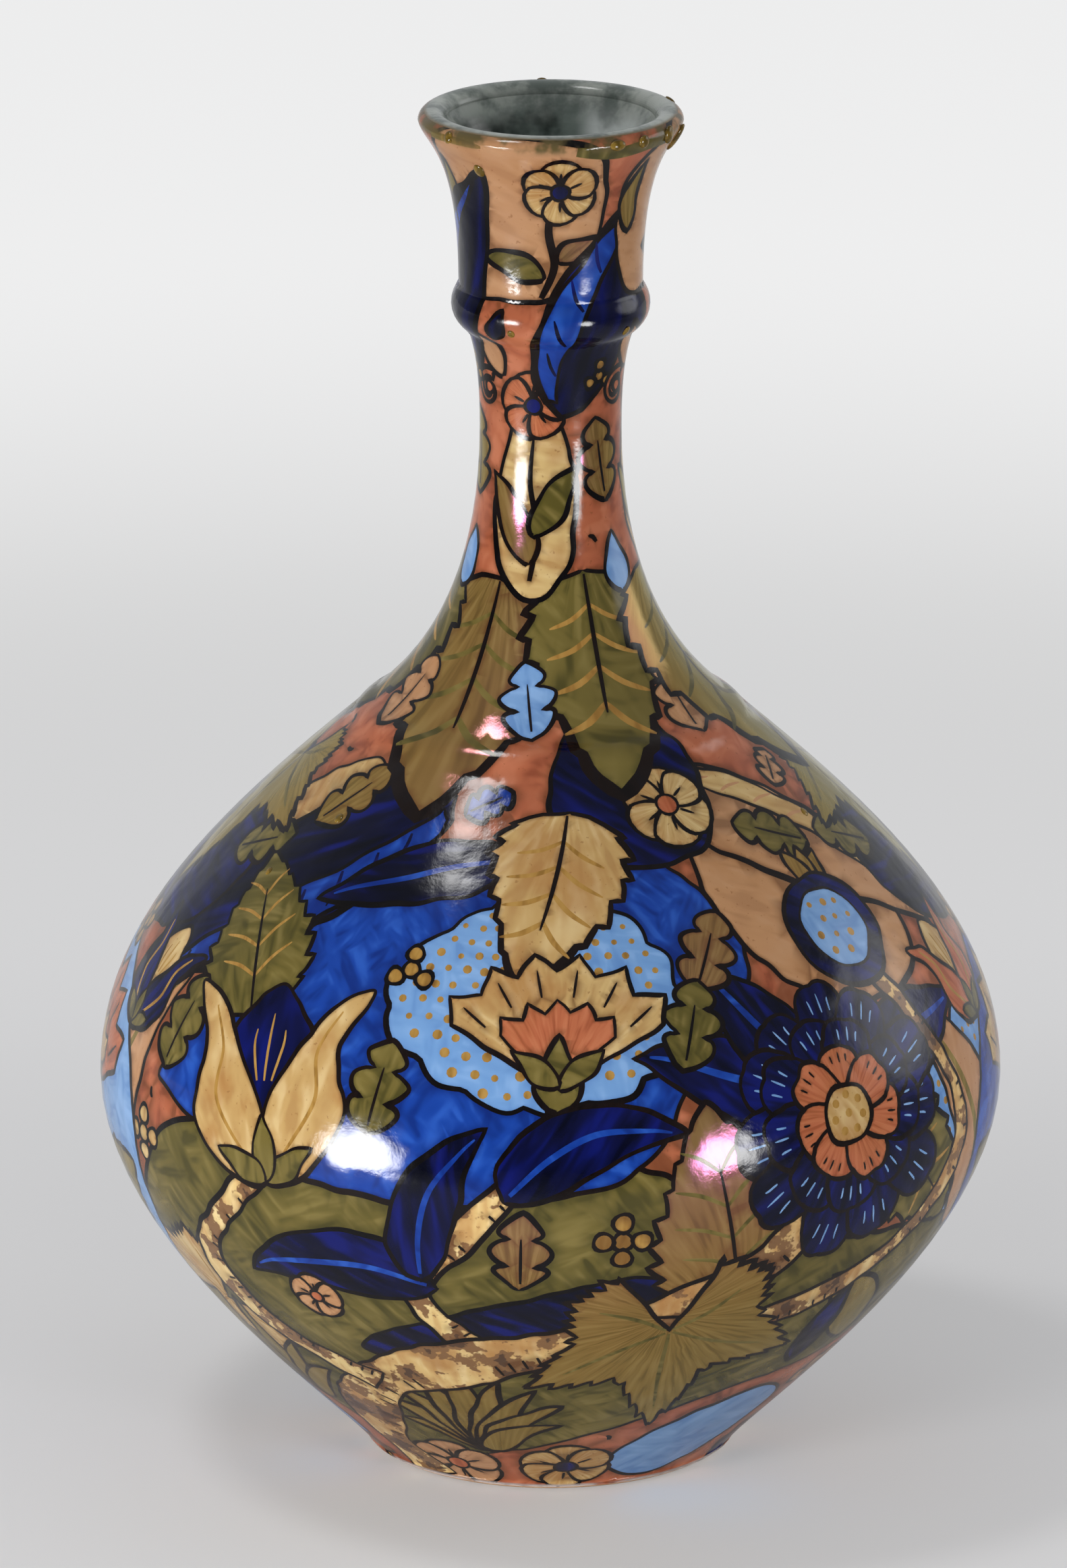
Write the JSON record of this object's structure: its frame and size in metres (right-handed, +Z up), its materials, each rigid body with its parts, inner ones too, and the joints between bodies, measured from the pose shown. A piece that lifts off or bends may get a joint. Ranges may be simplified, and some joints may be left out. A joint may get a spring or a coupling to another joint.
{
  "type": "faience vase",
  "caption": "Bottle vase of painted, glazed earthenware: wide round body on a small foot, slender neck with a bead ring, flared mouth. Holds stems and water.",
  "frame": {"origin": "centre of the foot, on the surface that the vase stands on", "axes": "+Z up along the axis of the vase; -Y is the side that the picture shows"},
  "size_m": [0.197, 0.197, 0.3],
  "materials": {
    "clay": "bare fired buff clay",
    "slip": "fired joining slip",
    "painted": "glossy clear glaze over a painted floral ground",
    "lining": "glossy pale grey-green glaze"
  },
  "bodies": {
    "root": {"foot_ring": "clay", "lower_body": "clay", "upper_body": "clay", "joint_ridge": "clay", "neck": "clay", "neck_ring": "clay", "mouth": "clay", "foot_slip": "slip", "belly_slip": "slip", "neck_slip": "slip", "mouth_slip": "slip", "inner_glaze": "lining", "painted_glaze": "painted"}
  },
  "joints": []
}
